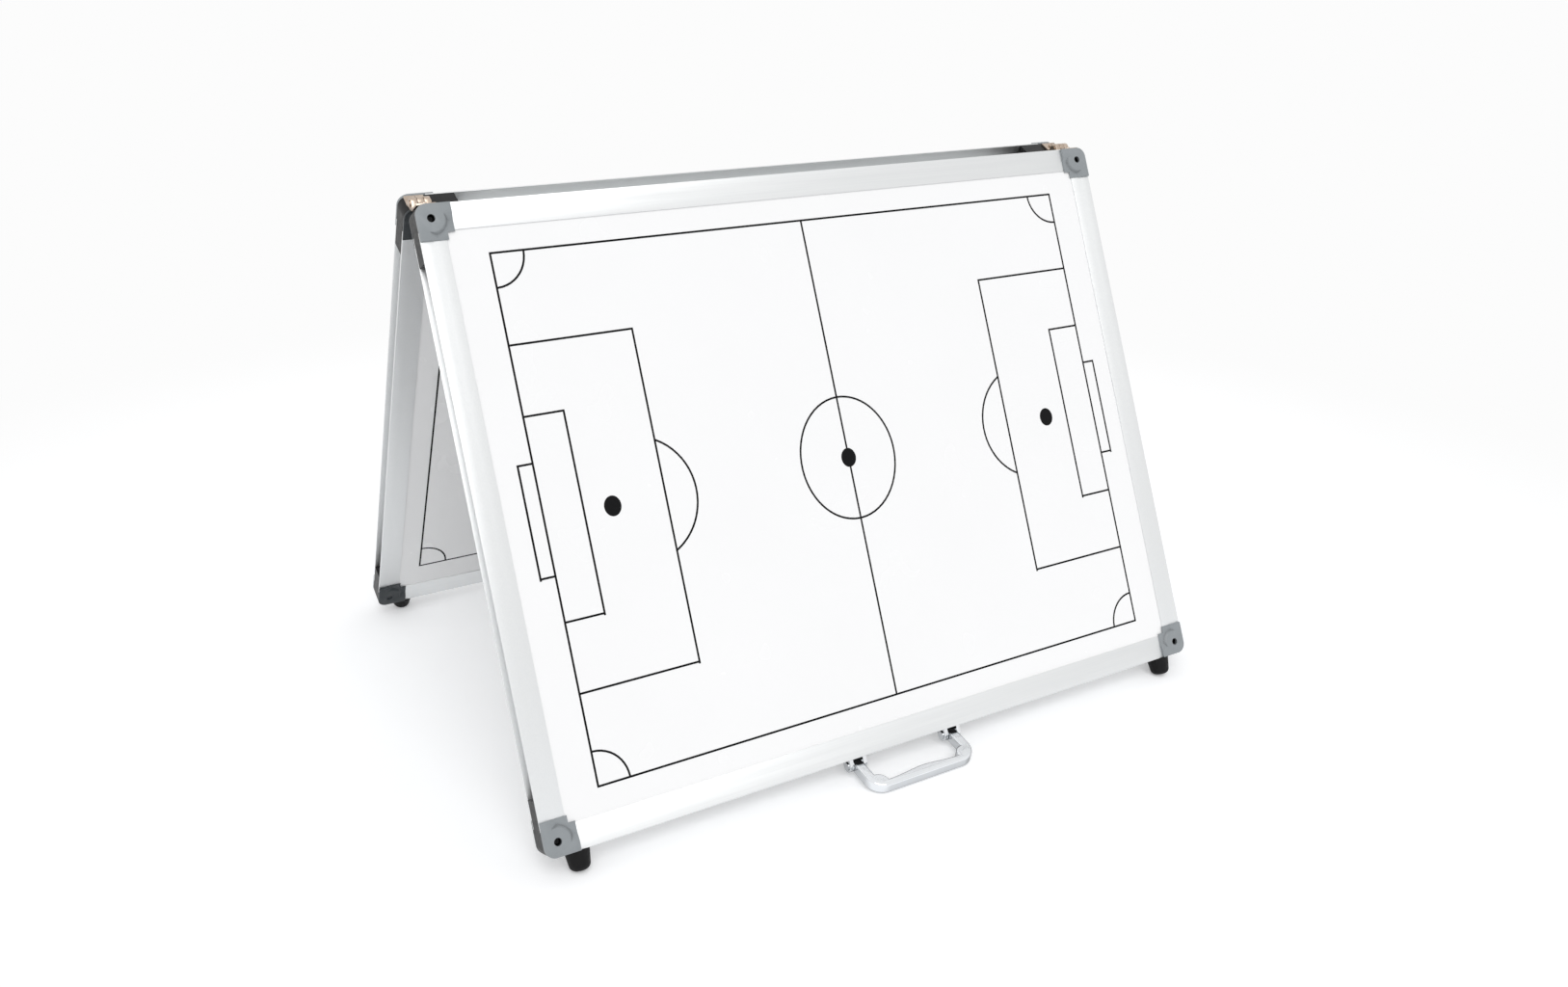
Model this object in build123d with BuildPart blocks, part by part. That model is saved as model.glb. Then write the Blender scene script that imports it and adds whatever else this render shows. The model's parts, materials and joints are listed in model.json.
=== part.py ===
from build123d import *
from math import asin, atan2, cos, degrees, hypot, radians, sin
import os

# Magnetic tactics board for football: two framed steel boards, hinged along their top
# long edges, that stand up as a tent and fold face to face into a case with a handle.
# Lengths are in millimetres and angles in degrees. Z is up and the floor is at Z = 0.
# The front board faces -Y, X runs along the long edges, and left is -X.

# Boards and how they stand
board_width = 600.0
board_height = 450.0
frame_depth = 16.0
opening_angle = 52.0

# Aluminium frame bar: an open channel outside, stepped faces, a lip over the panel
bar_width = 19.0
bar_wall = 1.3
bar_flat = 7.5
bar_slope_end = 12.0
bar_step_drop = 0.9
bar_lip = 0.9
channel_depth = 10.0
web_thickness = 1.2
bar_end_gap = 0.2
bar_edge_radius = 0.4

# Panel: two steel sheets on a light honeycomb core
sheet_thickness = 0.4
panel_clearance = 0.2
panel_corner_cut = 8.0
core_columns = 12
core_rows = 9
core_wall = 2.0
core_rim = 10.0

# Football pitch printed on the outer faces
print_thickness = 0.1
line_width = 1.5
pitch_width = 506.0
pitch_height = 375.0
centre_circle_width = 85.4
centre_circle_height = 95.4
penalty_area_depth = 94.0
penalty_area_height = 245.0
goal_area_depth = 30.0
goal_area_height = 144.6
goal_depth = 11.0
goal_height = 79.2
penalty_spot_reach = 52.0
penalty_arc_reach = 119.0
penalty_arc_height = 81.4
corner_arc_radius = 24.4
spot_width = 13.2
spot_height = 14.8

# Half pitch on the inner faces: the two make a whole one when the boards lie flat
inner_pitch_width = 525.0
inner_goal_line_inset = 45.0
inner_lines_end = 0.5
inner_penalty_area = (311.0, 127.0)
inner_goal_area = (141.0, 42.5)
inner_goal = (56.5, 11.0)
inner_spot_reach = 85.0
inner_spot_radius = 6.6
inner_circle_radius = 70.6

# Corner caps: a stepped wing on each face
cap_size = 25.5
cap_notch = 5.2
cap_rise = 1.2
cap_low_rise = 0.5
cap_corner_radius = 8.0
cap_hole_inset = 10.3
cap_hole_radius = 2.8
cap_boss_top_radius = 9.4
cap_boss_foot_radius = 11.4
cap_dimple_depth = 0.9
cap_post_radius = 2.6
cap_post_end = -1.0

# Corner keys in the frame channels
key_leg_length = 40.0
key_block_size = 15.2
key_clearance = 0.2
key_corner_cut = 3.0

# Feet
foot_inset = 25.0
foot_length = 15.0
foot_top_radius = 9.2
foot_tip_radius = 7.2
foot_tip_rounding = 4.6
foot_flat_depth = 0.5
foot_recess_radius = 2.6
foot_recess_depth = 8.0

# Screws
screw_radius = 1.5
screw_head_radius = 2.5
screw_head_height = 1.8
screw_head_rounding = 1.2
screw_slot_length = 2.6
screw_slot_width = 0.6
screw_slot_depth = 0.9
screw_length = 10.0
leaf_screw_length = 8.0
screw_fit = 0.1
cap_screw_depth = 2.8

# Hinges
hinge_length = 14.0
hinge_end_inset = 3.0
hinge_rise = 5.5
knuckle_radius = 4.2
knuckle_gap = 0.3
leaf_thickness = 1.5
leaf_reach = 5.0
hinge_pin_radius = 1.5
hinge_pin_fit = 0.05
hinge_head_radius = 2.4
hinge_head_height = 0.8
fold_clearance = 0.2

# Handle
handle_span = 90.0
handle_pivot_drop = 5.5
ear_depth = 10.0
ear_thickness = 3.2
ear_clearance = 0.4
bracket_plate = 1.5
seat_length = 24.0
pivot_pin_radius = 2.0
pivot_pin_fit = 0.08
pivot_head_radius = 3.2
pivot_head_height = 1.0
bail_leg_width = 8.0
bail_thickness = 8.8
bail_reach = 32.5
bail_grip_width = 8.5
bail_side_width = 6.0
bail_outer_radius = 14.0
bail_inner_radius = 8.0
bail_edge_radius = 1.6
bail_floor_gap = 0.1

# Sizes that follow from the ones above
lean = opening_angle / 2
half_depth = frame_depth / 2
step_level = half_depth - bar_step_drop
panel_level = step_level - bar_lip
channel_level = half_depth - bar_wall
bar_end_setback = bar_width + bar_end_gap
cap_level = half_depth + cap_rise
parting = cap_level + fold_clearance
panel_inset = channel_depth + web_thickness + panel_clearance
panel_width = board_width - 2 * panel_inset
panel_height = board_height - 2 * panel_inset
bail_half_thickness = bail_thickness / 2
handle_points = [(-handle_span / 2, 0), (handle_span / 2, 0)]
lean_sin = sin(radians(lean))
lean_cos = cos(radians(lean))

# Heights above the floor: the rounded foot tips are cut flat where they stand
foot_drop = (
    (foot_length - foot_tip_rounding) * lean_cos
    + (foot_tip_radius - foot_tip_rounding) * lean_sin
    + foot_tip_rounding
    - foot_flat_depth
)
hinge_height = (board_height + hinge_rise) * lean_cos - parting * lean_sin + foot_drop


def board_plane(facing):
    """Plane in the middle of a board: x along it, y up it, z out of its outer face."""
    outward = Vector(0, facing * lean_cos, lean_sin)
    up = Vector(0, -facing * lean_sin, lean_cos)
    centre = Vector(0, 0, hinge_height) - up * (board_height / 2 + hinge_rise) + outward * parting
    return Plane(origin=centre, x_dir=(-facing, 0, 0), z_dir=outward)


def on_board(board, origin, x_dir, z_dir):
    """Plane given in a board's own coordinates."""
    return Plane(board * Plane(origin=origin, x_dir=x_dir, z_dir=z_dir))


front_board = board_plane(-1)
rear_board = board_plane(1)

# For each side of a board: middle of its outer edge, way inwards, way along, length
sides = {
    "top": ((0, board_height / 2), (0, -1), (1, 0), board_width),
    "bottom": ((0, -board_height / 2), (0, 1), (1, 0), board_width),
    "left": ((-board_width / 2, 0), (1, 0), (0, 1), board_height),
    "right": ((board_width / 2, 0), (-1, 0), (0, 1), board_height),
}

# For each corner of a board: its side in x and in y, and its first way inwards
corners = {
    "top_left": (-1, 1, (0, -1, 0)),
    "top_right": (1, 1, (-1, 0, 0)),
    "bottom_left": (-1, -1, (1, 0, 0)),
    "bottom_right": (1, -1, (0, 1, 0)),
}


def drill(plane, points, radius, depth):
    """Round holes into the part being built, down from a plane."""
    with Locations(*[plane * Location((x, y, 0)) for x, y in points]):
        Cylinder(
            radius,
            depth,
            align=(Align.CENTER, Align.CENTER, Align.MAX),
            mode=Mode.SUBTRACT,
        )


def edge_plane(board, side):
    """Plane on the outer edge of a side, x along the bar, z out of the edge."""
    middle, inward, run, _ = sides[side]
    return on_board(board, (*middle, 0), (*run, 0), (-inward[0], -inward[1], 0))


# Frame bars

bar_upper_outline = [
    (0, channel_level),
    (0, half_depth),
    (bar_flat, half_depth),
    (bar_slope_end, step_level),
    (bar_width, step_level),
    (bar_width, panel_level),
    (channel_depth + web_thickness, panel_level),
]


def frame_bar(board, side):
    """One bar, square cut at both ends, which the corner caps cover."""
    middle, inward, run, length = sides[side]
    bar_length = length - 2 * bar_end_setback
    start = (
        middle[0] - run[0] * bar_length / 2,
        middle[1] - run[1] * bar_length / 2,
        0,
    )
    lower_outline = [(u, -n) for u, n in reversed(bar_upper_outline)]
    channel = [(channel_depth, -channel_level), (channel_depth, channel_level)]
    with BuildPart() as bar:
        with BuildSketch(on_board(board, start, (*inward, 0), (*run, 0))) as section:
            with BuildLine():
                Polyline(*bar_upper_outline, *lower_outline, *channel, close=True)
            make_face()
            outer_points = section.vertices().filter_by_position(Axis.X, -0.01, 0.01)
            arrises = outer_points.sort_by(Axis.Y)
            fillet([arrises[0], arrises[-1]], bar_edge_radius)
        extrude(amount=bar_length)
    return bar


def handled_bar(board):
    """The bottom bar of the front board, with holes for the handle's screws."""
    plain = frame_bar(board, "bottom")
    with BuildPart() as bar:
        add(plain.part)
        drill(edge_plane(board, "bottom"), handle_points, screw_radius + screw_fit, bar_width)
    return bar


# Panel layers

def steel_sheet(board, outer):
    """White enamelled steel sheet on one face of the core."""
    low = panel_level - sheet_thickness if outer else -panel_level
    with BuildPart() as sheet:
        with BuildSketch(board.offset(low)) as outline:
            Rectangle(panel_width, panel_height)
            chamfer(outline.vertices(), panel_corner_cut)
        extrude(amount=sheet_thickness)
    return sheet


def honeycomb_core(board, drilled):
    """Light core between the sheets: cells inside a rim that takes the screws."""
    core_half = panel_level - sheet_thickness
    cell_width = (panel_width - 2 * core_rim + core_wall) / core_columns
    cell_height = (panel_height - 2 * core_rim + core_wall) / core_rows
    with BuildPart() as core:
        with BuildSketch(board.offset(-core_half)) as outline:
            Rectangle(panel_width, panel_height)
            chamfer(outline.vertices(), panel_corner_cut)
            with GridLocations(cell_width, cell_height, core_columns, core_rows):
                Rectangle(cell_width - core_wall, cell_height - core_wall, mode=Mode.SUBTRACT)
        extrude(amount=2 * core_half)
        if drilled:
            drill(edge_plane(board, "bottom"), handle_points, screw_radius + screw_fit, bar_width)
    return core


# Printed pitches

def pitch_print(board):
    """The lines and spots of a football pitch, printed on an outer face."""
    goal_line = pitch_width / 2
    touch_line = pitch_height / 2
    box_line = goal_line - penalty_area_depth
    overlap = line_width / 2
    with BuildPart() as marks:
        with BuildSketch(board.offset(panel_level)):
            Rectangle(pitch_width + line_width, pitch_height + line_width)
            Rectangle(pitch_width - line_width, pitch_height - line_width, mode=Mode.SUBTRACT)
            Ellipse(centre_circle_width / 2 + overlap, centre_circle_height / 2 + overlap)
            Ellipse(
                centre_circle_width / 2 - overlap,
                centre_circle_height / 2 - overlap,
                mode=Mode.SUBTRACT,
            )
            Rectangle(line_width, pitch_height)
            Ellipse(spot_width / 2, spot_height / 2)
            for end in (-1, 1):
                with BuildLine():
                    for depth, height in (
                        (penalty_area_depth, penalty_area_height),
                        (goal_area_depth, goal_area_height),
                        (-goal_depth, goal_height),
                    ):
                        edge = end * (goal_line - depth)
                        turn = end * (goal_line - depth - (overlap if depth > 0 else -overlap))
                        Line((end * goal_line, height / 2), (turn, height / 2))
                        Line((edge, height / 2), (edge, -height / 2))
                        Line((turn, -height / 2), (end * goal_line, -height / 2))
                    ThreePointArc(
                        (end * box_line, penalty_arc_height / 2),
                        (end * (goal_line - penalty_arc_reach), 0),
                        (end * box_line, -penalty_arc_height / 2),
                    )
                    for flank in (-1, 1):
                        CenterArc(
                            (end * goal_line, flank * touch_line),
                            corner_arc_radius,
                            {(1, 1): 180, (-1, 1): 270, (-1, -1): 0, (1, -1): 90}[end, flank],
                            90,
                        )
                trace(line_width=line_width)
            with Locations(
                (penalty_spot_reach - goal_line, 0),
                (goal_line - penalty_spot_reach, 0),
            ):
                Ellipse(spot_width / 2, spot_height / 2)
        extrude(amount=print_thickness)
    return marks


def half_pitch_print(board):
    """Half a pitch, printed on an inner face, with its middle at the hinges."""
    goal_line = inner_goal_line_inset - board_height / 2
    lines_top = board_height / 2 - bar_width - inner_lines_end
    lines_length = lines_top - goal_line
    spot_line = goal_line + inner_spot_reach
    box_line = goal_line + inner_penalty_area[1]
    net_width, net_depth = inner_goal
    overlap = line_width / 2
    upwards = (Align.CENTER, Align.MIN)
    downwards = (Align.CENTER, Align.MAX)
    corner_points = [(-inner_pitch_width / 2, goal_line), (inner_pitch_width / 2, goal_line)]
    face = board.offset(-panel_level - print_thickness)
    with BuildPart() as marks:
        with BuildSketch(face):
            with Locations(*corner_points):
                Circle(corner_arc_radius + overlap)
                Circle(corner_arc_radius - overlap, mode=Mode.SUBTRACT)
            with Locations((0, goal_line)):
                Rectangle(inner_pitch_width, lines_length, align=upwards, mode=Mode.INTERSECT)
                for width, depth in (inner_penalty_area, inner_goal_area):
                    Rectangle(width + line_width, depth + overlap, align=upwards)
                    Rectangle(
                        width - line_width,
                        depth - overlap,
                        align=upwards,
                        mode=Mode.SUBTRACT,
                    )
                Rectangle(net_width + line_width, net_depth + overlap, align=downwards)
                Rectangle(
                    net_width - line_width,
                    net_depth - overlap,
                    align=downwards,
                    mode=Mode.SUBTRACT,
                )
                Rectangle(inner_pitch_width + line_width, line_width)
            with Locations(*corner_points):
                Rectangle(line_width, lines_length, align=upwards)
            with Locations((0, spot_line)):
                Circle(inner_spot_radius)
        for centre_line, low_line in (
            (spot_line, box_line),
            (board_height / 2 + hinge_rise, goal_line),
        ):
            with BuildSketch(face):
                with Locations((0, centre_line)):
                    Circle(inner_circle_radius + overlap)
                    Circle(inner_circle_radius - overlap, mode=Mode.SUBTRACT)
                with Locations((0, low_line)):
                    Rectangle(
                        inner_pitch_width,
                        lines_top - low_line,
                        align=upwards,
                        mode=Mode.INTERSECT,
                    )
        extrude(amount=print_thickness)
    return marks


# Corner caps and keys

def corner_plane(board, corner):
    """Plane with its origin on a corner of the board and both axes going inwards."""
    sign_x, sign_y, first = corners[corner]
    return on_board(board, (sign_x * board_width / 2, sign_y * board_height / 2, 0), first, (0, 0, 1))


def across_planes(board, corner, distance):
    """Planes across the two bars at a corner, with the way that goes off along each."""
    plane = corner_plane(board, corner)
    up_plane = on_board(plane, (0, distance, 0), (1, 0, 0), (0, -1, 0))
    along_plane = on_board(plane, (distance, 0, 0), (0, 1, 0), (1, 0, 0))
    return (up_plane, -1), (along_plane, 1)


def corner_cap(board, corner):
    """Moulded wings for both faces; the screw joins them through the key."""
    plane = corner_plane(board, corner)
    low_level = step_level + cap_low_rise
    centre = [(cap_hole_inset, cap_hole_inset)]
    with BuildPart() as cap:
        with BuildSketch(plane.offset(step_level)):
            Rectangle(cap_size, cap_size, align=Align.MIN)
        extrude(amount=cap_low_rise)
        for across, way in across_planes(board, corner, 0):
            with BuildSketch(across):
                with BuildLine():
                    Polyline(
                        (0, step_level),
                        (0, cap_level),
                        (bar_flat, cap_level),
                        (bar_slope_end, low_level),
                        (bar_slope_end, step_level),
                        close=True,
                    )
                make_face()
            extrude(amount=way * cap_size)
        with BuildSketch(plane.offset(low_level)):
            with Locations(*centre):
                Circle(cap_boss_foot_radius)
        with BuildSketch(plane.offset(cap_level)):
            with Locations(*centre):
                Circle(cap_boss_top_radius)
        loft()
        for across, way in across_planes(board, corner, bar_width):
            with BuildSketch(across):
                with BuildLine():
                    Polyline(
                        (0, step_level),
                        (0, half_depth),
                        (bar_flat, half_depth),
                        (bar_slope_end, step_level),
                        close=True,
                    )
                make_face()
            extrude(amount=way * cap_size, mode=Mode.SUBTRACT)
        with BuildSketch(plane.offset(step_level)) as outline:
            Rectangle(cap_size, cap_size, align=Align.MIN)
            fillet(outline.vertices().sort_by_distance((0, 0, 0))[0], cap_corner_radius)
            with Locations((cap_size - cap_notch, cap_size - cap_notch)):
                Rectangle(cap_notch, cap_notch, align=Align.MIN, mode=Mode.SUBTRACT)
        extrude(amount=cap_level, mode=Mode.INTERSECT)
        mirror(about=plane)
        drill(plane.offset(cap_level), centre, cap_hole_radius, cap_level)
        drill(plane.offset(cap_dimple_depth - cap_level), centre, cap_hole_radius, cap_dimple_depth)
        with BuildSketch(plane.offset(-step_level)):
            with Locations(*centre):
                Circle(cap_post_radius)
                Circle(screw_radius + screw_fit, mode=Mode.SUBTRACT)
        extrude(amount=step_level + cap_post_end)
    return cap


def corner_key(board, corner, edge_inset):
    """Black key: an L in the frame channels, with a block under the cap."""
    plane = corner_plane(board, corner)
    sign_x, sign_y, _ = corners[corner]
    leg_level = channel_level - key_clearance
    leg_depth = channel_depth - key_clearance
    block_level = step_level - key_clearance / 2
    centre = [(cap_hole_inset, cap_hole_inset)]
    with BuildPart() as key:
        with BuildSketch(plane.offset(-leg_level)) as legs:
            Rectangle(key_leg_length, leg_depth, align=Align.MIN)
            Rectangle(leg_depth, key_leg_length, align=Align.MIN)
            fillet(legs.vertices().sort_by_distance((0, 0, 0))[0], cap_corner_radius)
        extrude(amount=2 * leg_level)
        with BuildSketch(plane.offset(-block_level)) as block:
            Rectangle(key_block_size, key_block_size, align=Align.MIN)
            near_to_far = block.vertices().sort_by_distance((0, 0, 0))
            chamfer(near_to_far[-1], key_corner_cut)
            fillet(block.vertices().sort_by_distance((0, 0, 0))[0], cap_corner_radius)
        extrude(amount=2 * block_level)
        drill(plane.offset(block_level), centre, cap_hole_radius, block_level - cap_screw_seat)
        drill(plane.offset(cap_post_end), centre, cap_post_radius + screw_fit, block_level)
        drill(plane.offset(block_level), centre, screw_radius + screw_fit, 2 * block_level)
        side = "top" if sign_y > 0 else "bottom"
        point = (sign_x * (board_width / 2 - edge_inset), 0)
        drill(edge_plane(board, side), [point], screw_radius + screw_fit, leg_depth)
    return key


# Feet and screws

def foot(board, sign_x):
    """Tapered rubber foot under the bottom edge, cut flat where it stands."""
    start = (sign_x * (board_width / 2 - foot_inset), -board_height / 2, 0)
    axis_plane = on_board(board, start, (1, 0, 0), (0, 0, 1))
    with BuildPart() as part:
        with BuildSketch(axis_plane) as section:
            with BuildLine():
                Polyline(
                    (screw_radius + screw_fit, 0),
                    (foot_top_radius, 0),
                    (foot_tip_radius, -foot_length),
                    (foot_recess_radius, -foot_length),
                    (foot_recess_radius, foot_recess_depth - foot_length),
                    (screw_radius + screw_fit, foot_recess_depth - foot_length),
                    close=True,
                )
            make_face()
            tip_rim = (foot_tip_radius, -foot_length, 0)
            fillet(section.vertices().sort_by_distance(tip_rim)[0], foot_tip_rounding)
        revolve(axis=Axis(axis_plane.origin, axis_plane.y_dir))
        split(bisect_by=Plane.XY, keep=Keep.TOP)
    return part


def screws(planes, length):
    """Identical pan head screws, one for each plane: seat of the head, z out of it."""
    with BuildPart() as screw:
        with BuildSketch(Plane.XZ) as section:
            with BuildLine():
                Polyline(
                    (0, -length),
                    (screw_radius, -length),
                    (screw_radius, 0),
                    (screw_head_radius, 0),
                    (screw_head_radius, screw_head_height),
                    (0, screw_head_height),
                    close=True,
                )
            make_face()
            head_rim = (screw_head_radius, screw_head_height, 0)
            fillet(section.vertices().sort_by_distance(head_rim)[0], screw_head_rounding)
        revolve(axis=Axis.Z)
        with BuildSketch(Plane.XY.offset(screw_head_height)):
            Rectangle(screw_slot_length, screw_slot_width)
            Rectangle(screw_slot_width, screw_slot_length)
        extrude(amount=-screw_slot_depth, mode=Mode.SUBTRACT)
    with BuildPart() as group:
        with Locations(*planes):
            add(screw.part)
    return group


cap_screw_seat = cap_level - cap_screw_depth - screw_head_height


def cap_screw_planes(board):
    seat = (cap_hole_inset, cap_hole_inset, cap_screw_seat)
    return [
        on_board(corner_plane(board, corner), seat, (1, 0, 0), (0, 0, 1))
        for corner in corners
    ]


def foot_screw_planes(board):
    seat = -board_height / 2 - foot_length + foot_recess_depth
    return [
        on_board(board, (sign * (board_width / 2 - foot_inset), seat, 0), (1, 0, 0), (0, -1, 0))
        for sign in (-1, 1)
    ]


# Hinges, one at each end of the top edge

hinge_middle = board_width / 2 - hinge_end_inset - hinge_length / 2
leaf_start = knuckle_radius + 2 * fold_clearance
leaf_middle = (leaf_start - parting + leaf_reach) / 2
leaf_screw_inset = board_width / 2 - hinge_middle
knuckle_length = (hinge_length - 2 * knuckle_gap) / 3
outer_knuckles = (-knuckle_length - knuckle_gap, knuckle_length + knuckle_gap)


def hinge_leaf(board, sign_x, knuckles):
    """Leaf on a board's top edge, with its own knuckles round the pin."""
    middle = sign_x * hinge_middle
    edge = board_height / 2
    with BuildPart() as leaf:
        with BuildSketch(on_board(board, (middle, edge, 0), (1, 0, 0), (0, 1, 0))):
            with Locations((0, -leaf_middle)):
                Rectangle(hinge_length, leaf_reach + parting - leaf_start)
        extrude(amount=leaf_thickness)
        for offset in knuckles:
            start = (middle + offset - knuckle_length / 2, edge, -parting)
            with BuildSketch(on_board(board, start, (0, 1, 0), (1, 0, 0))):
                with Locations((0, fold_clearance)):
                    Rectangle(hinge_rise, knuckle_radius - fold_clearance, align=Align.MIN)
                with Locations((0, fold_clearance)):
                    Rectangle(leaf_thickness, leaf_start + leaf_thickness, align=Align.MIN)
                with Locations((hinge_rise, 0)):
                    Circle(knuckle_radius)
            extrude(amount=knuckle_length)
        pin_plane = on_board(
            board, (middle + hinge_length, edge + hinge_rise, -parting), (0, 1, 0), (1, 0, 0)
        )
        drill(pin_plane, [(0, 0)], hinge_pin_radius + hinge_pin_fit, 2 * hinge_length)
        seat = edge_plane(board, "top").offset(leaf_thickness)
        drill(seat, [(middle, 0)], screw_radius + screw_fit, leaf_thickness)
    return leaf


def hinge_pin(sign_x):
    """Steel pin through both leaves, with a low head at each end."""
    start = Plane(
        origin=(sign_x * hinge_middle - hinge_length / 2, 0, hinge_height),
        x_dir=(0, 1, 0),
        z_dir=(1, 0, 0),
    )
    with BuildPart() as pin:
        with BuildSketch(start):
            Circle(hinge_pin_radius)
        extrude(amount=hinge_length)
        with BuildSketch(start.offset(-hinge_head_height), start.offset(hinge_length)):
            Circle(hinge_head_radius)
        extrude(amount=hinge_head_height)
    return pin


def leaf_screw_planes(board):
    return [
        on_board(
            board,
            (sign * hinge_middle, board_height / 2 + leaf_thickness, 0),
            (1, 0, 0),
            (0, 1, 0),
        )
        for sign in (-1, 1)
    ]


# Handle on the bottom edge of the front board

ear_inside = bail_leg_width / 2 + ear_clearance
ear_outside = ear_inside + ear_thickness
pivot_level = -board_height / 2 - handle_pivot_drop
seat_depth = channel_depth - key_clearance - bracket_plate
handle_pivot = front_board.from_local_coords(Vector(0, pivot_level, 0))
bail_diagonal = hypot(bail_reach, bail_half_thickness)
bail_dip = (
    asin((handle_pivot.Z - bail_floor_gap) / bail_diagonal)
    - atan2(bail_half_thickness, bail_reach)
)
bail_plane = Plane(
    origin=handle_pivot,
    x_dir=(1, 0, 0),
    z_dir=(0, -sin(bail_dip), cos(bail_dip)),
)


def handle_bracket(sign_x):
    """Chromed bracket: a plate on the frame's web and two ears that stick out."""
    start = (sign_x * handle_span / 2, -board_height / 2, -ear_depth / 2)
    with BuildPart() as bracket:
        with BuildSketch(on_board(front_board, start, (1, 0, 0), (0, 0, 1))):
            with Locations((0, seat_depth)):
                Rectangle(2 * ear_outside, bracket_plate, align=(Align.CENTER, Align.MIN))
            for ear_side in (-1, 1):
                with Locations((ear_side * (ear_inside + ear_thickness / 2), seat_depth)):
                    Rectangle(
                        ear_thickness,
                        seat_depth + handle_pivot_drop,
                        align=(Align.CENTER, Align.MAX),
                    )
        extrude(amount=ear_depth)
        pivot = (sign_x * handle_span / 2 - ear_outside, pivot_level, 0)
        for ear_start in (0, ear_inside + ear_outside):
            ear_at = (pivot[0] + ear_start, pivot_level, 0)
            with BuildSketch(on_board(front_board, ear_at, (0, 1, 0), (1, 0, 0))):
                Circle(ear_depth / 2)
            extrude(amount=ear_thickness)
        pivot_plane = on_board(front_board, pivot, (0, 1, 0), (-1, 0, 0))
        drill(pivot_plane, [(0, 0)], pivot_pin_radius + pivot_pin_fit, 2 * ear_outside)
        hole_plane = edge_plane(front_board, "bottom")
        drill(hole_plane, [(sign_x * handle_span / 2, 0)], screw_radius + screw_fit, channel_depth)
    return bracket


def handle_seat(sign_x):
    """Black block that fills the channel round a bracket's ears."""
    middle = sign_x * handle_span / 2
    ear_middle = ear_inside + ear_thickness / 2
    hole_plane = edge_plane(front_board, "bottom")
    with BuildPart() as seat:
        with BuildSketch(hole_plane):
            with Locations((middle, 0)):
                Rectangle(seat_length, 2 * (channel_level - key_clearance))
            with Locations((middle - ear_middle, 0), (middle + ear_middle, 0)):
                Rectangle(
                    ear_thickness + key_clearance,
                    ear_depth + key_clearance,
                    mode=Mode.SUBTRACT,
                )
        extrude(amount=-seat_depth + key_clearance)
        drill(hole_plane, [(middle, 0)], cap_hole_radius, seat_depth / 2)
        drill(hole_plane, [(middle, 0)], screw_radius + screw_fit, seat_depth)
    return seat


def pivot_pin(sign_x):
    """Pin that the handle swings on, with a domed head at each end."""
    start = (sign_x * handle_span / 2 - ear_outside, pivot_level, 0)
    plane = on_board(front_board, start, (0, 1, 0), (1, 0, 0))
    with BuildPart() as pin:
        with BuildSketch(plane):
            Circle(pivot_pin_radius)
        extrude(amount=2 * ear_outside)
        with BuildSketch(plane.offset(-pivot_head_height), plane.offset(2 * ear_outside)):
            Circle(pivot_head_radius)
        extrude(amount=pivot_head_height)
    return pin


handle_axis = Edge.make_line(
    bail_plane.from_local_coords((-board_width, 0, 0)),
    bail_plane.from_local_coords((board_width, 0, 0)),
)


def handle_bail():
    """The swinging handle: two legs and a grip that is thicker in the middle."""
    half_outside = (handle_span + bail_leg_width) / 2
    half_inside = half_outside - bail_leg_width
    side_line = bail_side_width - bail_reach
    grip_line = bail_grip_width - bail_reach
    corner = half_inside - bail_inner_radius
    with BuildPart() as bail:
        with BuildSketch(bail_plane.offset(-bail_half_thickness)) as outline:
            Rectangle(2 * half_outside, bail_reach, align=(Align.CENTER, Align.MAX))
            far = outline.vertices().sort_by(Axis.Y)[:2]
            fillet(far, bail_outer_radius)
            with BuildLine():
                Line((-half_inside, 0), (-half_inside, side_line + bail_inner_radius))
                RadiusArc(
                    (-half_inside, side_line + bail_inner_radius),
                    (-corner, side_line),
                    bail_inner_radius,
                )
                Spline(
                    (-corner, side_line),
                    (0, grip_line),
                    (corner, side_line),
                    tangents=((1, 0), (1, 0)),
                )
                RadiusArc(
                    (corner, side_line),
                    (half_inside, side_line + bail_inner_radius),
                    bail_inner_radius,
                )
                Line((half_inside, side_line + bail_inner_radius), (half_inside, 0))
                Line((half_inside, 0), (-half_inside, 0))
            make_face(mode=Mode.SUBTRACT)
        extrude(amount=bail_thickness)
        flats = bail.faces().filter_by(GeomType.PLANE).filter_by(bail_plane)
        rims = flats.edges().filter_by(lambda edge: edge.distance_to(handle_axis) > 0.01)
        fillet(rims, bail_edge_radius)
        for leg_side in (-1, 1):
            leg_start = (leg_side * handle_span / 2 - bail_leg_width / 2, 0, 0)
            with BuildSketch(on_board(bail_plane, leg_start, (0, 1, 0), (1, 0, 0))):
                Circle(bail_half_thickness)
            extrude(amount=bail_leg_width)
        bore_plane = on_board(bail_plane, (half_outside, 0, 0), (0, 1, 0), (1, 0, 0))
        drill(bore_plane, [(0, 0)], pivot_pin_radius + pivot_pin_fit, 2 * half_outside)
    return bail


def handle_screw_planes():
    seat = -board_height / 2 + seat_depth / 2
    return [
        on_board(front_board, (sign * handle_span / 2, seat, 0), (1, 0, 0), (0, -1, 0))
        for sign in (-1, 1)
    ]


# Assembly: every node with its name, as the left and right of the standing board

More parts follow.
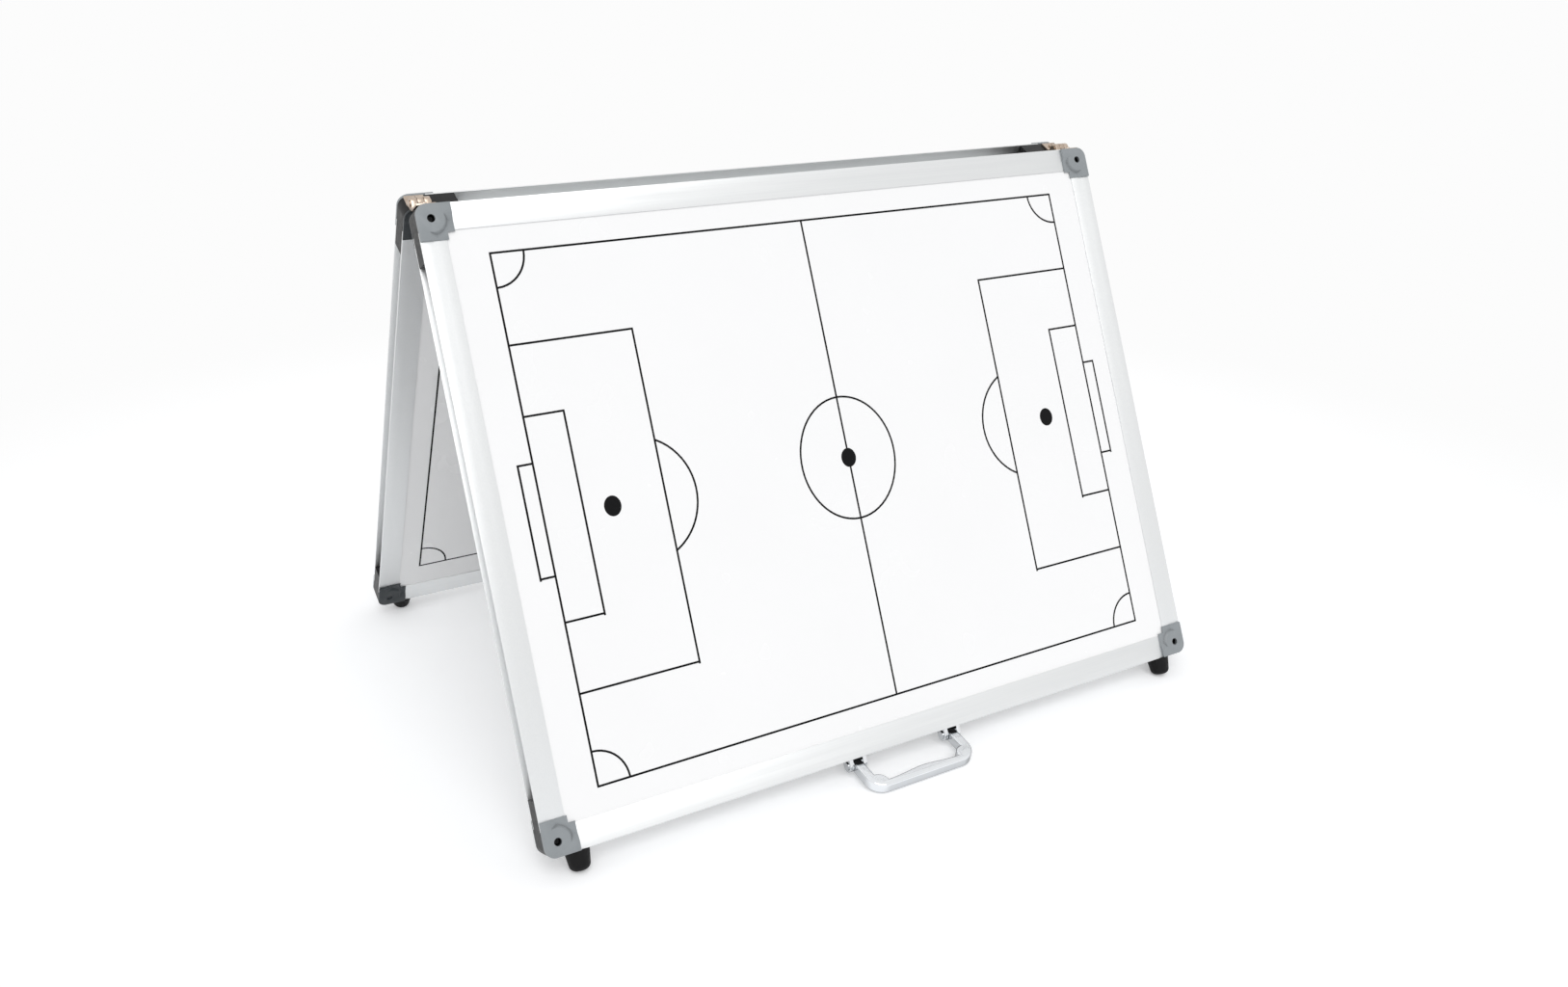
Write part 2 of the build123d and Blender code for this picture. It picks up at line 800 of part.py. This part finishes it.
pieces = {}
opposite = {"left": "right", "right": "left", "top": "top", "bottom": "bottom"}
for name, board, turn in (("front", front_board, 1), ("rear", rear_board, -1)):
    is_front = name == "front"
    pieces[f"{name}_outer_sheet"] = steel_sheet(board, True)
    pieces[f"{name}_inner_sheet"] = steel_sheet(board, False)
    pieces[f"{name}_core"] = honeycomb_core(board, is_front)
    pieces[f"{name}_outer_print"] = pitch_print(board)
    pieces[f"{name}_inner_print"] = half_pitch_print(board)
    for side in sides:
        handled = is_front and side == "bottom"
        own_side = side if is_front else opposite[side]
        bar = handled_bar(board) if handled else frame_bar(board, own_side)
        pieces[f"{name}_frame_{side}"] = bar
    for corner in corners:
        level, hand = corner.split("_")
        own_corner = corner if is_front else f"{level}_{opposite[hand]}"
        edge_inset = leaf_screw_inset if level == "top" else foot_inset
        pieces[f"{name}_cap_{corner}"] = corner_cap(board, own_corner)
        pieces[f"{name}_key_{corner}"] = corner_key(board, own_corner, edge_inset)
    for hand, sign in (("left", -1), ("right", 1)):
        pieces[f"{name}_foot_{hand}"] = foot(board, sign * turn)
        knuckles = outer_knuckles if is_front else (0,)
        pieces[f"hinge_leaf_{name}_{hand}"] = hinge_leaf(board, sign * turn, knuckles)
    pieces[f"{name}_cap_screws"] = screws(cap_screw_planes(board), screw_length)
    pieces[f"{name}_foot_screws"] = screws(foot_screw_planes(board), screw_length)
    pieces[f"hinge_screws_{name}"] = screws(leaf_screw_planes(board), leaf_screw_length)

for hand, sign in (("left", -1), ("right", 1)):
    pieces[f"hinge_pin_{hand}"] = hinge_pin(sign)
    pieces[f"handle_bracket_{hand}"] = handle_bracket(sign)
    pieces[f"handle_seat_{hand}"] = handle_seat(sign)
    pieces[f"handle_pin_{hand}"] = pivot_pin(sign)
pieces["handle_screws"] = screws(handle_screw_planes(), screw_length)
pieces["handle_bail"] = handle_bail()

# The origin goes under the middle of the whole board, on the floor
lowest_y = min(piece.part.bounding_box().min.Y for piece in pieces.values())
highest_y = max(piece.part.bounding_box().max.Y for piece in pieces.values())
centring = Location((0, -(lowest_y + highest_y) / 2, 0))

os.makedirs("parts", exist_ok=True)
for name, piece in pieces.items():
    piece.part = piece.part.moved(centring)
    piece.part.label = name
    export_step(piece.part, f"parts/{name}.step")

print("nodes", len(pieces))
print("hinge axis", centring.position.Y, hinge_height)
print("handle pivot", handle_pivot.Y + centring.position.Y, handle_pivot.Z)
print("handle dip", degrees(bail_dip))
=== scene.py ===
# %% [markdown]
# # A folding tactics board, standing as a tent
#
# The CAD model gives every part at its real size. This lesson gives each part its finish,
# softens the edges that a mould or a press leaves round, and lights the board as a studio
# photographer would: on a white sweep, with soft light from above and in front.

import json
import math

import bpy
from mathutils import Matrix, Vector

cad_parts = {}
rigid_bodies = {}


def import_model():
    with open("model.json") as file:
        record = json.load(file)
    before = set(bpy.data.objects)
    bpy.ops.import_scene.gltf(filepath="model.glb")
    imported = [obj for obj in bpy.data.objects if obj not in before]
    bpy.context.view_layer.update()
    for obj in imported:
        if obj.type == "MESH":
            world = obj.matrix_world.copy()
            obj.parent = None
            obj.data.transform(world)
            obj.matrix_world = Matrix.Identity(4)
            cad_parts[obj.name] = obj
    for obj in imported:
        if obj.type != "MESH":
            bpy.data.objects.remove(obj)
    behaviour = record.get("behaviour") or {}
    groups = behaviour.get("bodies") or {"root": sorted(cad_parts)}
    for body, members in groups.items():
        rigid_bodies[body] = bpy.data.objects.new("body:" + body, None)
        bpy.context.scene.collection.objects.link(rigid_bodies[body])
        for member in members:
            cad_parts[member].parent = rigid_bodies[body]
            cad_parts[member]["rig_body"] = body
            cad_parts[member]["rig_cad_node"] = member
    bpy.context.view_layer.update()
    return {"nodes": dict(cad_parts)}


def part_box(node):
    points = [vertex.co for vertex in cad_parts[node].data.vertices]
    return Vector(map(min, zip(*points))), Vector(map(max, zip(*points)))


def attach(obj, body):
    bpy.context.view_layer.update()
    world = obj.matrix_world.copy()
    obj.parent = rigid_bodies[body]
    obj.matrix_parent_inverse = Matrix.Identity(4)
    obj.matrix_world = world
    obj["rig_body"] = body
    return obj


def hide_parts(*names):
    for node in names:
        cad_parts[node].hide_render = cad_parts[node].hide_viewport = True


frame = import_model()
nodes = frame["nodes"]

# %% [markdown]
# ## Colours and nodes
#
# Colours are easiest to read as the hex codes of a paint chart. Those are sRGB values, and
# the shaders work in linear light, so one function turns one into the other. A second
# function adds a node, sets it and links it, so that a material reads from top to bottom.

# %% Colours and nodes
backdrop_code = "#FCFCFC"


def paint(code):
    """A hex colour such as #F2F4F5 as linear red, green, blue and alpha."""
    channels = [int(code[place:place + 2], 16) / 255 for place in (1, 3, 5)]
    linear = [c / 12.92 if c <= 0.04045 else ((c + 0.055) / 1.055) ** 2.4 for c in channels]
    return (*linear, 1.0)


def add_node(tree, kind, inputs=(), **settings):
    """Adds a node, with values or links for its inputs, and returns it."""
    node = tree.nodes.new(kind)
    for name, value in settings.items():
        setattr(node, name, value)
    for socket, value in dict(inputs).items():
        if isinstance(value, bpy.types.NodeSocket):
            tree.links.new(value, node.inputs[socket])
        else:
            node.inputs[socket].default_value = value
    return node


print("backdrop", backdrop_code, "is", paint(backdrop_code))

# %% [markdown]
# ## Sums, ramps and blends
#
# Three small functions cover the arithmetic of all the materials. Each returns an output
# that can be linked on. The Mix node has a set of sockets for each kind of value, so the
# ones for colours are picked by number.

# %% Sums, ramps and blends
mix_first, mix_second, mix_result = 6, 7, 2


def calculate(tree, operation, first, second):
    """Puts two values through a sum."""
    inputs = {0: first, 1: second}
    return add_node(tree, "ShaderNodeMath", inputs, operation=operation).outputs[0]


def ramp(tree, value, start, end, low, high, **settings):
    """Turns start to end into low to high, and stops at both."""
    inputs = {"Value": value, "From Min": start, "From Max": end, "To Min": low, "To Max": high}
    return add_node(tree, "ShaderNodeMapRange", inputs, **settings).outputs[0]


def blend(tree, share, first, second, **settings):
    """Blends two colours by a share from 0 to 1."""
    inputs = {"Factor": share, mix_first: first, mix_second: second}
    mix = add_node(tree, "ShaderNodeMix", inputs, data_type="RGBA", **settings)
    return mix.outputs[mix_result]


def looked_at(tree):
    """Is 1 for what the camera sees, straight or mirrored, and 0 for all other light."""
    path = add_node(tree, "ShaderNodeLightPath")
    return calculate(
        tree, "MAXIMUM", path.outputs["Is Camera Ray"], path.outputs["Is Glossy Ray"]
    )


print("colour sockets of the Mix node", mix_first, mix_second, "and", mix_result)

# %% [markdown]
# ## Patterns that vary a finish
#
# No real surface is one flat colour. A noise on the part's own coordinates varies its
# colour, its roughness and its height, each at its own size in millimetres. The middle of
# the noise, where most of its values lie, is stretched over the whole roughness range.

# %% Noise for colour, roughness and height
noise_middle = (0.3, 0.7)


def noise_of(tree, size_mm, detail=2.0, turn=0.0, stretch=(1, 1, 1)):
    """Noise of features this many millimetres across, turned about X and stretched."""
    place = add_node(tree, "ShaderNodeTexCoord")
    mapping = add_node(
        tree,
        "ShaderNodeMapping",
        {"Vector": place.outputs["Object"], "Rotation": (turn, 0, 0), "Scale": stretch},
    )
    inputs = {"Vector": mapping.outputs[0], "Scale": 1000.0 / size_mm, "Detail": detail}
    return add_node(tree, "ShaderNodeTexNoise", inputs).outputs["Fac"]


def vary_colour(tree, shader, noise, dark, light):
    """A base colour that goes from dark to light with a noise."""
    tree.links.new(blend(tree, noise, paint(dark), paint(light)), shader.inputs["Base Color"])


def vary_roughness(tree, shader, noise, low, high):
    """Roughness that goes from low to high with a noise."""
    tree.links.new(ramp(tree, noise, *noise_middle, low, high), shader.inputs["Roughness"])


def raise_grain(tree, shader, noise, strength, height_mm):
    """A small relief on the surface from a noise."""
    inputs = {"Strength": strength, "Distance": height_mm / 1000, "Height": noise}
    relief = add_node(tree, "ShaderNodeBump", inputs)
    tree.links.new(relief.outputs["Normal"], shader.inputs["Normal"])


print("roughness follows the noise from", *noise_middle)

# %% [markdown]
# ## Making a finish
#
# Most finishes differ only in their numbers. Each pattern is given as its size in
# millimetres and then its two values: dark and light, smooth and rough, or the strength
# and height of the grain.

# %% Functions that make a finish
def new_finish(name, **sockets):
    """A material with one Principled shader, whose plain values are set on its sockets."""
    finish = bpy.data.materials.new(name)
    finish.use_nodes = True
    shader = finish.node_tree.nodes["Principled BSDF"]
    for socket, value in sockets.items():
        shader.inputs[socket.replace("_", " ")].default_value = value
    return finish, finish.node_tree, shader


def textured(name, colours, dullness, grain=None, detail=2.0, **sockets):
    """A finish whose colour, roughness and height each vary at their own size."""
    finish, tree, shader = new_finish(name, **sockets)
    colour_size, dark, light = colours
    vary_colour(tree, shader, noise_of(tree, colour_size, detail), dark, light)
    dullness_size, smooth, rough = dullness
    vary_roughness(tree, shader, noise_of(tree, dullness_size), smooth, rough)
    if grain:
        grain_size, strength, height = grain
        raise_grain(tree, shader, noise_of(tree, grain_size), strength, height)
    print(name)
    return finish

# %% [markdown]
# ## White enamelled steel
#
# The faces are thin steel with a fired white enamel that magnets hold to and a dry marker
# wipes off. Enamel is glossy, yet it is never quite flat: it has the faint waves of an
# orange's skin, a few millimetres across, and soft cloudy marks where it has been wiped.

# %% Enamel
enamel = textured(
    "White_enamel_fired_on_steel",
    colours=(90.0, "#F4F4F4", "#F7F7F7"),
    dullness=(45.0, 0.2, 0.28),
    grain=(4.0, 0.06, 0.05),
    IOR=1.5,
    Coat_Weight=0.25,
    Coat_Roughness=0.08,
)

# %% [markdown]
# ## Screen printed ink
#
# The pitch is printed through a screen and baked. The ink lies on top of the enamel as a
# thin black film, duller than the gloss round it, with the weave of the screen in it.

# %% Ink
ink = textured(
    "Black_screen_printed_ink",
    colours=(1.5, "#050506", "#0E0E10"),
    dullness=(3.0, 0.42, 0.55),
    grain=(0.6, 0.15, 0.02),
    IOR=1.5,
    Specular_IOR_Level=0.12,
)

# %% [markdown]
# ## Anodised aluminium
#
# The frame bars are extruded through a die, which leaves fine straight lines along them,
# and then anodised to a soft silver. The lines follow the bar, so the same finish is made
# once for bars along X and once for bars that run up each leaning board. Lines as fine as
# the real ones would not show, so they are drawn 0.7 mm wide. A noise becomes lines when it
# is drawn out along one axis, by a scale far under 1.

# %% Aluminium
lean = math.radians(26)
line_width = 0.7
line_detail = 3.0
drawn_out = 0.008

aluminium = {}
for bar_way, turn, stretch in (
    ("long", 0.0, (drawn_out, 1, 1)),
    ("front_upright", lean, (1, 1, drawn_out)),
    ("rear_upright", -lean, (1, 1, drawn_out)),
):
    finish, tree, shader = new_finish(f"Anodised_aluminium_extruded_{bar_way}", Metallic=1.0)
    lines = noise_of(tree, line_width, line_detail, turn, stretch)
    vary_colour(tree, shader, lines, "#DFE1E2", "#E9EAEA")
    vary_roughness(tree, shader, lines, 0.36, 0.46)
    raise_grain(tree, shader, lines, 0.12, 0.02)
    aluminium[bar_way] = finish
print("aluminium", *aluminium)

# %% [markdown]
# ## Moulded plastics
#
# The corner caps are grey ABS from a spark eroded mould, which gives a fine even grain
# with a soft sheen, and their inner halves are a darker grey. The keys in the channels and
# the seats of the handle are black nylon, smoother.

# %% Plastics
cap_dullness = (5.0, 0.34, 0.44)
cap_grain = (0.5, 0.2, 0.04)

grey_abs = textured(
    "Grey_ABS_moulded", (12.0, "#878C8F", "#93989B"), cap_dullness, cap_grain, IOR=1.5
)
dark_abs = textured(
    "Dark_grey_ABS_moulded", (12.0, "#1D2428", "#272E32"), cap_dullness, cap_grain, IOR=1.5
)
black_nylon = textured(
    "Black_nylon_moulded",
    colours=(8.0, "#0A0A0B", "#121213"),
    dullness=(4.0, 0.38, 0.5),
    grain=(0.6, 0.15, 0.03),
    IOR=1.5,
    Specular_IOR_Level=0.3,
)

# %% [markdown]
# ## Rubber
#
# The feet are moulded rubber: nearly black, and dull.

# %% Rubber
rubber = textured(
    "Black_rubber_moulded",
    colours=(6.0, "#070708", "#101011"),
    dullness=(3.0, 0.5, 0.65),
    grain=(0.8, 0.25, 0.05),
    IOR=1.5,
    Specular_IOR_Level=0.2,
)

# %% [markdown]
# ## Plated metals
#
# The hinges are steel with a pale brass plating that has a warm, almost cream look, a
# little browner where the plating is thin. The handle is die cast and chromed: its colour
# is what it reflects. The screws are steel blackened with oil.

# %% Metals
pale_brass = textured(
    "Pale_brass_plating_on_steel",
    colours=(5.0, "#9F8B7A", "#D9CBBD"),
    dullness=(3.0, 0.24, 0.4),
    grain=(1.5, 0.1, 0.03),
    detail=4.0,
    Metallic=1.0,
)
chrome = textured(
    "Chrome_plating_bright", (15.0, "#E4E7EA", "#EDEFF1"), (6.0, 0.05, 0.1), Metallic=1.0
)
black_steel = textured(
    "Blackened_steel_oiled", (1.5, "#111112", "#1E1E20"), (1.0, 0.35, 0.5), Metallic=0.7
)

# %% [markdown]
# ## Card honeycomb
#
# The core between the sheets never shows, yet it gets its own finish in case a board is
# opened: brown kraft card, with fibres.

# %% Card
card = textured(
    "Kraft_card_glued", (3.0, "#8F6A42", "#B8905F"), (2.0, 0.75, 0.9), detail=6.0, IOR=1.45
)

# %% [markdown]
# ## Painted shade in the relief, and painted dark reflections
#
# Two finishes need one thing more, light and shade painted into their colour. Shade gathers in
# the steps of the caps' relief, so painted shade makes the grey darker where the surface is
# hemmed in. And an all white studio leaves chrome no edges, so its colour goes dark where it
# turns away: a painted reflection, as if black cards stood beside the camera.

# %% Painted shade and painted reflections
hemmed_in, in_the_open = 0.78, 0.99
rim_start, rim_end = 0.3, 0.9


def base_colour(finish):
    """The node tree of a finish, its base colour socket, and the output that feeds it."""
    socket = finish.node_tree.nodes["Principled BSDF"].inputs["Base Color"]
    return finish.node_tree, socket, socket.links[0].from_socket


def paint_shade_in_hollows(finish, reach_mm, darkest):
    """Paints shade into a finish, darker in the inner corners of a relief."""
    tree, socket, colour = base_colour(finish)
    openness = add_node(
        tree,
        "ShaderNodeAmbientOcclusion",
        {"Distance": reach_mm / 1000},
        samples=8,
        only_local=True,
    )
    share = ramp(tree, openness.outputs["AO"], hemmed_in, in_the_open, darkest, 1.0)
    tree.links.new(blend(tree, 1.0, colour, share, blend_type="MULTIPLY"), socket)


def paint_dark_reflections(finish, rim):
    """Paints a reflection: the finish goes over to another colour where it turns away."""
    tree, socket, colour = base_colour(finish)
    turned_away = add_node(tree, "ShaderNodeLayerWeight", {"Blend": 0.5})
    share = ramp(tree, turned_away.outputs["Facing"], rim_start, rim_end, 0.0, 1.0)
    tree.links.new(blend(tree, share, colour, paint(rim)), socket)


# Painted shade in the hollows of the grey caps' relief.
paint_shade_in_hollows(grey_abs, reach_mm=4.0, darkest=0.1)
# A painted dark reflection on the chrome where it turns away from the eye.
paint_dark_reflections(chrome, "#26292C")
print("shaded", grey_abs.name, chrome.name)

# %% [markdown]
# ## Giving each part its finish
#
# Each CAD part keeps its shape, and its material slot gets one of the finishes above. The
# names say what a part is, so a table from words to finish covers all of them. The first
# row with a word that is in the name counts.

# %% Finishes on the parts
def finish_of(name):
    """The finish for a part, from its name."""
    if "_frame_" in name:
        if name.endswith(("_top", "_bottom")):
            return aluminium["long"]
        return aluminium["front_upright" if name.startswith("front") else "rear_upright"]
    for words, finish in (
        (("_sheet",), enamel),
        (("_print",), ink),
        (("_core",), card),
        (("cap_screws", "foot_screws", "handle_screws"), black_steel),
        (("_cap_",), grey_abs),
        (("_key_", "handle_seat"), black_nylon),
        (("_foot_",), rubber),
        (("hinge_",), pale_brass),
        (("handle_",), chrome),
    ):
        if any(word in name for word in words):
            return finish
    raise ValueError(name)


def dress(piece, finish):
    """Puts one finish on a whole piece."""
    piece.data.materials.clear()
    piece.data.materials.append(finish)


for name, part in nodes.items():
    dress(part, finish_of(name))
print("dressed", len(nodes), "parts")

# %% [markdown]
# ## Softened edges
#
# CAD edges are perfectly sharp, and real ones never are: a mould, a die or a press leaves
# a small radius that catches the light as a thin line. A copy of the part is merged, its
# flat triangles become whole faces, and a narrow bevel rounds the sharp edges. The copy
# then stands for the CAD part.

# %% A softened copy of a part
sharp = math.radians(28)
nearly_flat = math.radians(0.5)
weld_distance = 0.000002


def softened(name, radius_mm, segments=2):
    """A copy of a CAD part with its sharp edges rounded, standing for the part."""
    bpy.ops.object.select_all(action="DESELECT")
    nodes[name].select_set(True)
    bpy.context.view_layer.objects.active = nodes[name]
    bpy.ops.object.duplicate()
    piece = bpy.context.view_layer.objects.active
    body = piece["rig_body"]
    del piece["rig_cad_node"]
    piece.parent = None
    piece.name = piece.data.name = name + "_soft"
    bpy.ops.object.mode_set(mode="EDIT")
    bpy.ops.mesh.select_all(action="SELECT")
    bpy.ops.mesh.remove_doubles(threshold=weld_distance)
    bpy.ops.mesh.dissolve_limited(angle_limit=nearly_flat)
    bpy.ops.mesh.customdata_custom_splitnormals_clear()
    bpy.ops.object.mode_set(mode="OBJECT")
    bevel = piece.modifiers.new("Edge_radius", "BEVEL")
    bevel.width = radius_mm / 1000
    bevel.segments = segments
    bevel.limit_method = "ANGLE"
    bevel.angle_limit = sharp
    bevel.use_clamp_overlap = True
    bpy.ops.object.modifier_apply(modifier=bevel.name)
    bpy.ops.object.shade_smooth_by_angle(angle=sharp)
    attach(piece, body)
    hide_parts(name)
    return piece


# %% [markdown]
# ## Two greys on a cap
#
# Each cap is a wing on either face of its board. The faces on the inner side of the
# board's middle get the darker grey.

# %% The inner halves of the caps
outward = {
    "front": Vector((0, -math.cos(lean), math.sin(lean))),
    "rear": Vector((0, math.cos(lean), math.sin(lean))),
}


def darken_inner_half(piece, board):
    """Gives the faces of a cap on the board's inner side the darker grey."""
    piece.data.materials.append(dark_abs)
    low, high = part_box(board + "_core")
    middle = (low + high) / 2
    for face in piece.data.polygons:
        if (face.center - middle).dot(outward[board]) < 0:
            face.material_index = 1


print("outward", outward)

# %% [markdown]
# ## Which parts are softened
#
# A moulded cap is the roundest, then the cast brackets. Extruded bars and pressed leaves
# have only a trace of a radius. The radii are in millimetres.

# %% Softened copies
for name in sorted(nodes):
    if "_cap_" in name and not name.endswith("screws"):
        darken_inner_half(softened(name, 0.5, 3), name.split("_")[0])
    elif "_frame_" in name:
        softened(name, 0.2)
    elif "handle_bracket" in name:
        softened(name, 0.4, 3)
    elif name == "handle_bail":
        softened(name, 0.1)
    elif "hinge_leaf" in name:
        softened(name, 0.25)

# %% [markdown]
# ## The floor
#
# A studio sweep is white paper, lit until it reads as white but for the soft shadow under
# the object. It lies a hair under the feet.

# %% Floor
bpy.ops.object.select_all(action="DESELECT")
bpy.ops.mesh.primitive_plane_add(size=16.0, location=(0, 0, -0.0003))
floor = bpy.context.active_object
floor.name = "Floor"
paper, tree, shader = new_finish(
    "White_paper_sweep",
    Base_Color=paint("#F4F5F6"),
    Roughness=0.85,
    IOR=1.4,
    Specular_IOR_Level=0.1,
)
dress(floor, paper)
print(floor.name, paper.name)

# %% [markdown]
# ## A sweep without a horizon
#
# For the camera, and for whatever mirrors the paper, it is lifted a little towards white
# near the board, where it keeps its shadow. Further off it fades to plain white, so no
# horizon shows. The other light in the scene meets plain paper. Distances are in metres.

# %% Fade to white
shadow_kept_to, white_from = 0.45, 1.2
paper_lift = 0.23

place = add_node(tree, "ShaderNodeTexCoord")
reach = add_node(tree, "ShaderNodeVectorMath", {0: place.outputs["Object"]}, operation="LENGTH")
faded = ramp(
    tree,
    reach.outputs["Value"],
    shadow_kept_to,
    white_from,
    0.0,
    1.0,
    interpolation_type="SMOOTHSTEP",
)
direct = looked_at(tree)
share = calculate(tree, "MULTIPLY", faded, direct)
lift = calculate(tree, "MULTIPLY", direct, paper_lift)
backdrop = paint(backdrop_code)
white = add_node(tree, "ShaderNodeEmission", {"Color": backdrop, "Strength": 1.0})
glow = add_node(tree, "ShaderNodeEmission", {"Color": backdrop, "Strength": lift})
lifted = add_node(tree, "ShaderNodeAddShader", {0: shader.outputs[0], 1: glow.outputs[0]})
mixed = add_node(
    tree, "ShaderNodeMixShader", {0: share, 1: lifted.outputs[0], 2: white.outputs[0]}
)
tree.links.new(mixed.outputs[0], tree.nodes["Material Output"].inputs["Surface"])
print("white from", white_from, "m")

# %% [markdown]
# ## Light
#
# The world is a large even tent of light. The camera, and whatever the metal reflects, see
# it as white, and it lights the board with two thirds of that.

# %% World
tent_level = 0.66

world = bpy.data.worlds.new("Studio_tent")
bpy.context.scene.world = world
world.use_nodes = True
sky = world.node_tree
background = sky.nodes["Background"]
direct = looked_at(sky)
tint = blend(sky, direct, paint("#F9F9FA"), paint(backdrop_code))
level = ramp(sky, direct, 0.0, 1.0, tent_level, 1.0)
sky.links.new(tint, background.inputs["Color"])
sky.links.new(level, background.inputs["Strength"])
print(world.name, tent_level)

# %% [markdown]
# One wide soft lamp in front and above puts a little more light on the outer face than on
# the inner one, and gives the shadow on the floor its direction.

# %% Lamp
lamp_shines_along = Vector((0.25, 0.7, -0.9))
lamp_strength = 1.3
lamp_spread = math.radians(50)

bpy.ops.object.light_add(type="SUN", location=(0, 0, 3))
lamp = bpy.context.active_object
lamp.name = "Key_light"
lamp.data.energy = lamp_strength
lamp.data.angle = lamp_spread
lamp.rotation_mode = "QUATERNION"
lamp.rotation_quaternion = lamp_shines_along.to_track_quat("-Z", "Y")
print(lamp.name, lamp_strength)

# %% [markdown]
# ## Camera
#
# The camera stands where the photographer stood. Its place and turn come from lining the
# board's edges and printed lines up with the picture. The picture was cropped, so the lens
# is shifted a little.

# %% Camera
image_width, image_height = 1627, 1024
focal_pixels = 1342.97
centre_pixels = (734.38, 499.94)
camera_place = Vector((-0.54516, -0.86643, 0.59606))
camera_right = Vector((0.87806419, -0.47839941, 0.01171685))
camera_down = Vector((-0.17885389, -0.35078541, -0.91921754))
camera_forward = Vector((0.44386323, 0.8050364, -0.3935757))

bpy.ops.object.camera_add()
camera = bpy.context.active_object
camera.name = "Camera"
turned = Matrix((camera_right, -camera_down, -camera_forward)).transposed()
camera.matrix_world = Matrix.Translation(camera_place) @ turned.to_4x4()
camera.data.sensor_width = 36.0
camera.data.lens = focal_pixels / image_width * camera.data.sensor_width
camera.data.shift_x = (image_width / 2 - centre_pixels[0]) / image_width
camera.data.shift_y = (centre_pixels[1] - image_height / 2) / image_width
camera.data.clip_start, camera.data.clip_end = 0.01, 100.0
bpy.context.scene.camera = camera
bpy.context.scene.view_settings.view_transform = "Standard"
print(camera.name, "lens", round(camera.data.lens, 2), "mm")
